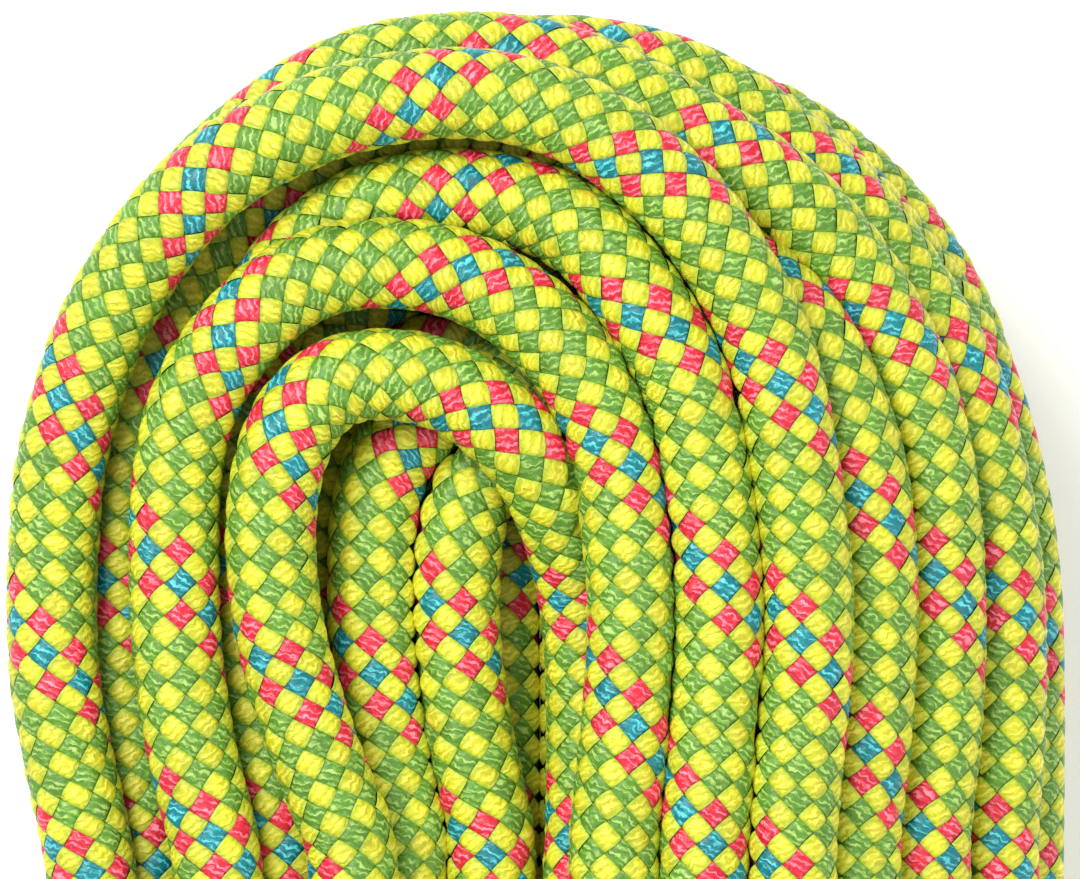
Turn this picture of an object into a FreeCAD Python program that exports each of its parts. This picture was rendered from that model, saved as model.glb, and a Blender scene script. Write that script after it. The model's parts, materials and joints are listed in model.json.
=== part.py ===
import FreeCAD, Part
import math
import os

from FreeCAD import Vector

# A dynamic climbing rope, 60 m of 9.8 mm kernmantle, wound into a long hank.
# The rope lies on a flat surface.  X goes across the hank, Y along it and Z up.
# The origin is under the middle of the whole object, on the surface.
# Every length is in millimetres.

# ---- the rope itself ----
ROPE_DIAMETER = 9.8
SHEATH_WALL = 0.9
CORE_STRANDS = 12
INNER_STRANDS = 3
STRAND_DIAMETER = 1.88
OUTER_RING_RADIUS = 3.03
INNER_RING_RADIUS = 1.2
TAPE_WIDTH = 0.9
TAPE_THICKNESS = 0.15
TAPE_RADIUS = 3.72

# ---- what finishes each end ----
SLEEVE_WALL = 0.35
SLEEVE_LENGTH = 22.0
TIP_LENGTH = 2.5

# ---- the hank, whose middle stands off the origin because one end of the rope lies past it ----
HANK_LENGTH = 603.0
HANK_WIDTH = 119.0
HANK_HEIGHT = 90.0
HANK_EDGE_RADIUS = 32.0
HANK_MIDDLE_Y = 31.04
END_DEPTH = 66.0
END_EDGE_RADIUS = 25.0

# ---- the waist, where six turns of the rope's own end hold the hank ----
WAIST_WIDTH = 99.0
WAIST_EDGE_RADIUS = 30.0
WRAP_COUNT = 6
WRAPS_FROM_MIDDLE = 121.5
TAPER_LENGTH = 70.0
WAIST_MARGIN = 5.0

# ---- values that follow ----
ROPE_RADIUS = ROPE_DIAMETER / 2
BORE_RADIUS = ROPE_RADIUS - SHEATH_WALL
LYING_HEIGHT = ROPE_RADIUS + SLEEVE_WALL
FRONT_Y = HANK_MIDDLE_Y + HANK_LENGTH / 2
REAR_Y = HANK_MIDDLE_Y - HANK_LENGTH / 2
WAIST_HEIGHT = 82.0
WAIST_BOTTOM = ROPE_DIAMETER
WRAPS_LENGTH = WRAP_COUNT * 10.0
WRAPS_Y = HANK_MIDDLE_Y + WRAPS_FROM_MIDDLE
WRAPS_REAR_Y = WRAPS_Y - WRAPS_LENGTH / 2
WRAPS_FRONT_Y = WRAPS_Y + WRAPS_LENGTH / 2

# ---- the two free ends, as corners of their routes ----
# The lower end comes out of the bottom turn, under the hank's rear end, and bends to the right.
LOWER_END_ROUTE = [
    Vector(-27.5, REAR_Y + 30.0, LYING_HEIGHT),
    Vector(-20.0, REAR_Y - 13.0, LYING_HEIGHT),
    Vector(8.0, REAR_Y - 46.0, LYING_HEIGHT),
    Vector(50.0, REAR_Y - 57.0, LYING_HEIGHT),
]
# The upper end leaves the last wrap low on the left and lies along the hank's foot.
UPPER_END_ROUTE = [
    Vector(-49.6, WRAPS_REAR_Y, 22.5),
    Vector(-53.0, WRAPS_REAR_Y - 34.0, 13.0),
    Vector(-54.25, WRAPS_REAR_Y - 73.0, LYING_HEIGHT),
    Vector(-53.6, WRAPS_REAR_Y - 113.0, LYING_HEIGHT),
    Vector(-54.25, WRAPS_REAR_Y - 153.0, LYING_HEIGHT),
]


def rounded_section(width, bottom, height, edge_radius, y):
    """Closed wire of an upright rectangle with round corners, square to Y, as eight edges."""
    half = width / 2
    top = bottom + height
    inner = half - edge_radius
    low = bottom + edge_radius
    high = top - edge_radius
    slant = edge_radius * math.sqrt(0.5)
    right_low = Part.Arc(
        Vector(inner, y, bottom), Vector(inner + slant, y, low - slant), Vector(half, y, low)
    )
    right_high = Part.Arc(
        Vector(half, y, high), Vector(inner + slant, y, high + slant), Vector(inner, y, top)
    )
    left_high = Part.Arc(
        Vector(-inner, y, top), Vector(-inner - slant, y, high + slant), Vector(-half, y, high)
    )
    left_low = Part.Arc(
        Vector(-half, y, low), Vector(-inner - slant, y, low - slant), Vector(-inner, y, bottom)
    )
    edges = [
        Part.LineSegment(Vector(-inner, y, bottom), Vector(inner, y, bottom)).toShape(),
        right_low.toShape(),
        Part.LineSegment(Vector(half, y, low), Vector(half, y, high)).toShape(),
        right_high.toShape(),
        Part.LineSegment(Vector(inner, y, top), Vector(-inner, y, top)).toShape(),
        left_high.toShape(),
        Part.LineSegment(Vector(-half, y, high), Vector(-half, y, low)).toShape(),
        left_low.toShape(),
    ]
    return Part.Wire(edges)


def full_section(y):
    """Section of the hank away from its waist."""
    return rounded_section(HANK_WIDTH, 0.0, HANK_HEIGHT, HANK_EDGE_RADIUS, y)


def waist_section(y):
    """Section of the hank under its wraps."""
    return rounded_section(WAIST_WIDTH, WAIST_BOTTOM, WAIST_HEIGHT, WAIST_EDGE_RADIUS, y)


def lobe(start_y, end_y):
    """Straight length of the hank from start_y to its looped end at end_y."""
    way = math.copysign(1.0, end_y - start_y)
    body = Part.Face(full_section(start_y)).extrude(Vector(0, end_y - start_y, 0))
    # In plan the looped end is half an ellipse.
    centre_y = end_y - way * END_DEPTH
    ellipse = Part.Ellipse(Vector(0, end_y, 0), Vector(HANK_WIDTH / 2, centre_y, 0), Vector(0, centre_y, 0))
    oval = Part.Face(Part.Wire(ellipse.toShape())).extrude(Vector(0, 0, HANK_HEIGHT))
    near_y = min(start_y, centre_y)
    straight = Part.makeBox(
        HANK_WIDTH, abs(centre_y - start_y), HANK_HEIGHT, Vector(-HANK_WIDTH / 2, near_y, 0)
    )
    # From the side its upper and lower edges are round.
    length = abs(end_y - start_y)
    block = Part.makeBox(
        HANK_WIDTH, length, HANK_HEIGHT, Vector(-HANK_WIDTH / 2, min(start_y, end_y), 0)
    )
    end_edges = [
        edge
        for edge in block.Edges
        if abs(edge.BoundBox.YMin - end_y) < 1e-6
        and abs(edge.BoundBox.YMax - end_y) < 1e-6
        and edge.BoundBox.ZLength < 1e-6
    ]
    block = block.makeFillet(END_EDGE_RADIUS, end_edges)
    return body.common(oval.fuse(straight)).common(block)


def make_hank():
    """The outer shape of all the wound turns, narrow at the waist."""
    rear_waist_y = WRAPS_REAR_Y - WAIST_MARGIN
    front_waist_y = WRAPS_FRONT_Y + WAIST_MARGIN
    rear_full_y = rear_waist_y - TAPER_LENGTH
    front_full_y = front_waist_y + TAPER_LENGTH
    waist = Part.Face(waist_section(rear_waist_y)).extrude(Vector(0, front_waist_y - rear_waist_y, 0))
    rear_taper = Part.makeLoft([full_section(rear_full_y), waist_section(rear_waist_y)], True, True)
    front_taper = Part.makeLoft([waist_section(front_waist_y), full_section(front_full_y)], True, True)
    pieces = [rear_taper, front_taper, lobe(rear_full_y, REAR_Y), lobe(front_full_y, FRONT_Y)]
    return waist.multiFuse(pieces).removeSplitter()


def make_waist_wraps(hank):
    """The band that the six wraps fill, close round the waist."""
    width = WAIST_WIDTH + 2 * ROPE_DIAMETER
    height = WAIST_HEIGHT + 2 * ROPE_DIAMETER
    edge_radius = WAIST_EDGE_RADIUS + ROPE_DIAMETER
    outside = Part.Face(rounded_section(width, 0.0, height, edge_radius, WRAPS_REAR_Y))
    return outside.extrude(Vector(0, WRAPS_LENGTH, 0)).cut(hank)


def corner_arc(before, corner, after):
    """Arc that rounds one corner of a route: its start, end, centre, axis, turn and radius."""
    arriving = corner - before
    leaving = after - corner
    turn = arriving.getAngle(leaving)
    setback = 0.45 * min(arriving.Length, leaving.Length)
    radius = setback / math.tan(turn / 2)
    start = corner - Vector(arriving).normalize() * setback
    end = corner + Vector(leaving).normalize() * setback
    axis = arriving.cross(leaving).normalize()
    centre = start + axis.cross(arriving).normalize() * radius
    return start, end, centre, axis, turn, radius


def run_along(section, route):
    """Solid that a flat section makes along a route of straight runs and tangent arcs."""
    pieces = []
    here = route[0]
    for before, corner, after in zip(route, route[1:], route[2:]):
        start, end, centre, axis, turn, _radius = corner_arc(before, corner, after)
        step = start - here
        pieces.append(section.extrude(step))
        section = section.translated(step)
        pieces.append(section.revolve(centre, axis, math.degrees(turn)))
        section = section.rotated(centre, axis, math.degrees(turn))
        here = end
    pieces.append(section.extrude(route[-1] - here))
    return pieces[0].multiFuse(pieces[1:]).removeSplitter()


def route_length(route):
    """Length of the middle line of a route, with its corners rounded."""
    length = 0.0
    here = route[0]
    for before, corner, after in zip(route, route[1:], route[2:]):
        start, end, _centre, _axis, turn, radius = corner_arc(before, corner, after)
        length += (start - here).Length + turn * radius
        here = end
    return length + (route[-1] - here).Length


def shortened(route, amount):
    """The same route with its last run cut short by an amount."""
    last_run = route[-1] - route[-2]
    new_end = route[-1] - last_run.normalize() * amount
    return route[:-1] + [new_end]


def disc(centre, direction, radius):
    """Flat round face, square to a direction."""
    return Part.Face(Part.Wire(Part.makeCircle(radius, centre, direction)))


def strand_centres(start, direction):
    """Where the core strands lie in the section: a ring of nine round a group of three."""
    side = direction.cross(Vector(0, 0, 1)).normalize()
    up = side.cross(direction).normalize()
    outer_strands = CORE_STRANDS - INNER_STRANDS
    places = [(INNER_RING_RADIUS, 360.0 * i / INNER_STRANDS) for i in range(INNER_STRANDS)]
    places += [(OUTER_RING_RADIUS, 20.0 + 360.0 * i / outer_strands) for i in range(outer_strands)]
    centres = []
    for ring_radius, degrees in places:
        angle = math.radians(degrees)
        centres.append(start + side * (ring_radius * math.cos(angle)) + up * (ring_radius * math.sin(angle)))
    return centres


def tape_section(start, direction):
    """Flat strip that lies between two outer strands and the sheath."""
    side = direction.cross(Vector(0, 0, 1)).normalize()
    up = side.cross(direction).normalize()
    near = TAPE_RADIUS - TAPE_THICKNESS / 2
    far = TAPE_RADIUS + TAPE_THICKNESS / 2
    half = TAPE_WIDTH / 2
    corners = [(near, -half), (far, -half), (far, half), (near, half), (near, -half)]
    points = [start + side * out + up * across for out, across in corners]
    return Part.Face(Part.makePolygon(points))


def make_rope_end(name, route):
    """One free end of the rope: sheath, core strands, tape, sleeve and fused tip, by node name."""
    direction = (route[1] - route[0]).normalize()
    sheathed = shortened(route, TIP_LENGTH)
    outside = disc(route[0], direction, ROPE_RADIUS)
    bore = disc(route[0], direction, BORE_RADIUS)
    parts = {name + "_sheath": run_along(outside.cut(bore), sheathed)}
    for number, centre in enumerate(strand_centres(route[0], direction), 1):
        strand = disc(centre, direction, STRAND_DIAMETER / 2)
        parts[name + "_core_strand_%02d" % number] = run_along(strand, sheathed)
    parts[name + "_marker_tape"] = run_along(tape_section(route[0], direction), sheathed)
    last_way = (route[-1] - route[-2]).normalize()
    sleeve_start = route[-1] - last_way * SLEEVE_LENGTH
    sleeve = Part.makeCylinder(ROPE_RADIUS + SLEEVE_WALL, SLEEVE_LENGTH, sleeve_start, last_way)
    hole = Part.makeCylinder(ROPE_RADIUS, SLEEVE_LENGTH, sleeve_start, last_way)
    parts[name + "_sleeve"] = sleeve.cut(hole)
    parts[name + "_fused_tip"] = Part.makeCylinder(
        ROPE_RADIUS, TIP_LENGTH, route[-1] - last_way * TIP_LENGTH, last_way
    )
    return parts


def report_route(name, route, sheath):
    """Print the bends of a route, and its sheath's volume against section times length."""
    radii = [corner_arc(*three)[5] for three in zip(route, route[1:], route[2:])]
    print(name, "bend radii", ["%.1f" % radius for radius in radii])
    section_area = math.pi * (ROPE_RADIUS**2 - BORE_RADIUS**2)
    expected = section_area * (route_length(route) - TIP_LENGTH)
    print(name, "length %.1f" % route_length(route), "volume ratio %.5f" % (sheath.Volume / expected))


def make_rope():
    """All the nodes of the rope."""
    hank = make_hank()
    parts = {"waist_wraps": make_waist_wraps(hank)}
    for name, route in (("lower_end", LOWER_END_ROUTE), ("upper_end", UPPER_END_ROUTE)):
        rope_end = make_rope_end(name, route)
        report_route(name, route, rope_end[name + "_sheath"])
        direction = (route[1] - route[0]).normalize()
        hank = hank.cut(run_along(disc(route[0], direction, ROPE_RADIUS), route))
        parts.update(rope_end)
    parts["wound_hank"] = hank
    return parts


os.makedirs("parts", exist_ok=True)
rope_parts = make_rope()
whole = FreeCAD.BoundBox()
for node, shape in rope_parts.items():
    solids = shape.Solids
    if len(solids) == 1:
        shape = solids[0]
    print(node, shape.ShapeType, "solids", len(solids), "valid", shape.isValid(), "%.1f" % shape.Volume)
    whole.add(shape.BoundBox)
    shape.exportStep("parts/%s.step" % node)
print("box", whole)
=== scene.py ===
# %% [markdown]
# # A dynamic climbing rope, wound into a hank
#
# The object is 60 m of kernmantle rope: a core of twisted nylon strands (the kern) inside a braided sheath
# (the mantle).  It is wound into a long hank, and the last turns go round the waist of the hank and hold it.
# The rope is one piece from end to end, so this script first finds its middle line, as one long smooth curve,
# and then weaves the sheath along that line, yarn by yarn.

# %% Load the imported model
import json
import math

import bpy
import numpy as np
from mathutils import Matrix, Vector

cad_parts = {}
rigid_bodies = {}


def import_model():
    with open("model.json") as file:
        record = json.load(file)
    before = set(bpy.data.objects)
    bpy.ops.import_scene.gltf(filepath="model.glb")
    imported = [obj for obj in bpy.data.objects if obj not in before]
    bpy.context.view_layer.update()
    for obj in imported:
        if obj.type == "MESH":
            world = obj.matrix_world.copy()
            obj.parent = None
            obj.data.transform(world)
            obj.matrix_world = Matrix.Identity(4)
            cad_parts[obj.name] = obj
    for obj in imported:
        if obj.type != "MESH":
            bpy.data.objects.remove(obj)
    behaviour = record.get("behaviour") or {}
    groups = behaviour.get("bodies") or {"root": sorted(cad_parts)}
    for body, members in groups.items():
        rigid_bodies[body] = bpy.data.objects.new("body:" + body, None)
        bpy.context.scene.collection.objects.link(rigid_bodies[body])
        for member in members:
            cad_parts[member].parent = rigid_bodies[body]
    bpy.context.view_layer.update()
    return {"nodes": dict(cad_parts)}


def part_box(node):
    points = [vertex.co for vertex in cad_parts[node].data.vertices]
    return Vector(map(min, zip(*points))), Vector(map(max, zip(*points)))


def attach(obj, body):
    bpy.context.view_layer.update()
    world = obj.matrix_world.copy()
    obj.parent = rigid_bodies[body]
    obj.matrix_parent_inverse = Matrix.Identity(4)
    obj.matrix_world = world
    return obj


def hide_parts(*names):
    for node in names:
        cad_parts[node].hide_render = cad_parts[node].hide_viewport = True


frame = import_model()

MM = 0.001
print("CAD nodes:", len(frame["nodes"]))

# %% [markdown]
# ## Sizes
#
# A single rope is 9 to 10.5 mm thick.  This one is 9.8 mm, and every other size is worked out from that or
# read from the CAD model.  The sheath has eight pairs of yarns each way round, and each pair shows as one
# float, the short length of yarn that lies on top before it dives under its neighbour.  Along the rope a row
# of floats is about as long as a float is wide, which makes the diamonds nearly square.

# %% Sizes of the rope and of the hank
ROPE = 9.8 * MM
RADIUS = ROPE / 2
LYING_HEIGHT = RADIUS + 0.35 * MM
YARNS_EACH_WAY = 8
ROW = 3.6 * MM

hank_low, hank_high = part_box("wound_hank")
wraps_low, wraps_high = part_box("waist_wraps")
TIP_Y = hank_high.y
TAIL_Y = hank_low.y
END_DEPTH = 66 * MM
PILE_HEIGHT = 90 * MM
TOP_Z = PILE_HEIGHT - RADIUS
FRONT_BEND_Y = TIP_Y - END_DEPTH
REAR_BEND_Y = TAIL_Y + END_DEPTH
print("hank", hank_low, hank_high)

# %% [markdown]
# ## Camera and light
#
# The hank lies flat and is seen from straight above, close to its looped end, with a long lens.  A long lens
# far away keeps the turns at one scale, as product pictures do.  Two large soft lights shine from above, the
# stronger one from beyond the looped end, and a pale world fills the gaps between the turns.

# %% Camera
VIEW_WIDTH = 120.3 * MM
VIEW_CENTRE_Y = TIP_Y - 48.07 * MM
CAMERA_DISTANCE = 1.6

camera_data = bpy.data.cameras.new("camera")
camera_data.sensor_width = 36.0
camera_data.lens = camera_data.sensor_width * CAMERA_DISTANCE / VIEW_WIDTH
camera = bpy.data.objects.new("camera", camera_data)
camera.location = (0.0, VIEW_CENTRE_Y, hank_high.z + CAMERA_DISTANCE)
bpy.context.scene.collection.objects.link(camera)
bpy.context.scene.camera = camera
print("lens", round(camera_data.lens), "mm")

# %% Light
scene = bpy.context.scene
scene.view_settings.view_transform = "Standard"


def add_area_light(name, place, aim, size, power):
    """A square soft light at a place, turned to face its aim."""
    data = bpy.data.lights.new(name, "AREA")
    data.size = size
    data.energy = power
    light = bpy.data.objects.new(name, data)
    light.location = place
    light.rotation_euler = (Vector(aim) - Vector(place)).to_track_quat("-Z", "Y").to_euler()
    scene.collection.objects.link(light)


add_area_light("key_light", (-0.55, TIP_Y + 0.45, 1.1), (0.0, VIEW_CENTRE_Y, 0.05), 0.7, 18.0)
add_area_light("fill_light", (0.9, -0.3, 1.0), (0.0, 0.0, 0.05), 1.0, 8.0)

world = bpy.data.worlds.new("pale_world")
world.use_nodes = True
world.node_tree.nodes["Background"].inputs["Color"].default_value = (1.0, 1.0, 1.0, 1.0)
world.node_tree.nodes["Background"].inputs["Strength"].default_value = 0.55
scene.world = world

# %% [markdown]
# ## The rope's middle line
#
# A hank is wound round two hooks, so each turn is a leg towards the looped end, an arch, a leg back and a
# rear arch.  In the pile, a turn takes two places in the section, one for each leg.  The turns are worked out
# by a loop over those places: whole layers for the bottom and middle, and a given list for the top, where
# every turn lies in its own way.  All of it becomes one NURBS curve of order 3, which stays near its control
# points and bends smoothly, as a rope does.

# %% Where the turns lie
WAIST_MARGIN = 5 * MM
LEFT_TAPER = 64 * MM
RIGHT_TAPER = 44 * MM
HEIGHT_TAPER = 70 * MM
WAIST_SHARE_X = 99 / 119
WAIST_SHARE_Z = 82 / 90
COLUMN = 9.8 * MM
LAYER = 8.9 * MM
LEG_STEPS = 7
ARCH_STEPS = 8
ARCH_FULLNESS = 0.87


def smooth(t):
    """Goes from 0 to 1 with soft ends."""
    t = min(max(t, 0.0), 1.0)
    return t * t * (3 - 2 * t)


def drawn_in(x, y, z):
    """A place in the loose pile, drawn in towards the waist as the wraps draw it."""
    before = y - wraps_high.y - WAIST_MARGIN
    behind = wraps_low.y - WAIST_MARGIN - y
    side_taper = LEFT_TAPER if x < 0 or behind > 0 else RIGHT_TAPER
    away = max(before, behind, 0.0)
    hold_x = 1 - smooth(away / side_taper)
    hold_z = 1 - smooth(away / HEIGHT_TAPER)
    tight_z = ROPE + z * WAIST_SHARE_Z
    return Vector((x * (1 + hold_x * (WAIST_SHARE_X - 1)), y, z + hold_z * (tight_z - z)))


ARCH_SPARE = 6.5 * MM


def arch(start, end, bend_y, depth):
    """Places along one arch of a turn, from leg to leg.  start and end are (x, z) of the legs."""
    way = 1.0 if bend_y > 0 else -1.0
    middle = (start[0] + end[0]) / 2
    half = (end[0] - start[0]) / 2
    places = []
    for step in range(ARCH_STEPS + 1):
        angle = math.pi * step / ARCH_STEPS
        across = math.copysign(abs(math.cos(angle)) ** ARCH_FULLNESS, math.cos(angle))
        rise = max(math.sin(angle), 0.0) ** ARCH_FULLNESS
        level = start[1] + (end[1] - start[1]) * (1 - across) / 2
        places.append(Vector((middle - half * across, bend_y + way * depth * rise, level)))
    return places


def leg(x, z, from_y, to_y):
    """Places along one leg, between the two arches."""
    ys = [from_y + (to_y - from_y) * step / LEG_STEPS for step in range(1, LEG_STEPS)]
    return [drawn_in(x, y, z) for y in ys]


# %% The plain turns, from the bottom of the pile to the top
INNER_TURNS = [7, 5, 3, 1]
LAYER_PLANS = [
    INNER_TURNS,
    [9] + INNER_TURNS,
    [11, 9] + INNER_TURNS,
    [11, 9] + INNER_TURNS,
    [11, 9] + INNER_TURNS,
    [11, 9] + INNER_TURNS,
    INNER_TURNS,
    INNER_TURNS,
]

# Each number is half the width of a turn, in half rope widths.
# The winding goes inwards in one layer and outwards in the next.
plain_turns = []
for number, plan in enumerate(LAYER_PLANS):
    height = RADIUS + number * LAYER
    halves = plan if number % 2 == 0 else plan[::-1]
    for half in halves:
        side = half * COLUMN / 2
        plain_turns.append(((-side, height), (side, height)))
print("plain turns:", len(plain_turns))

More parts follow.
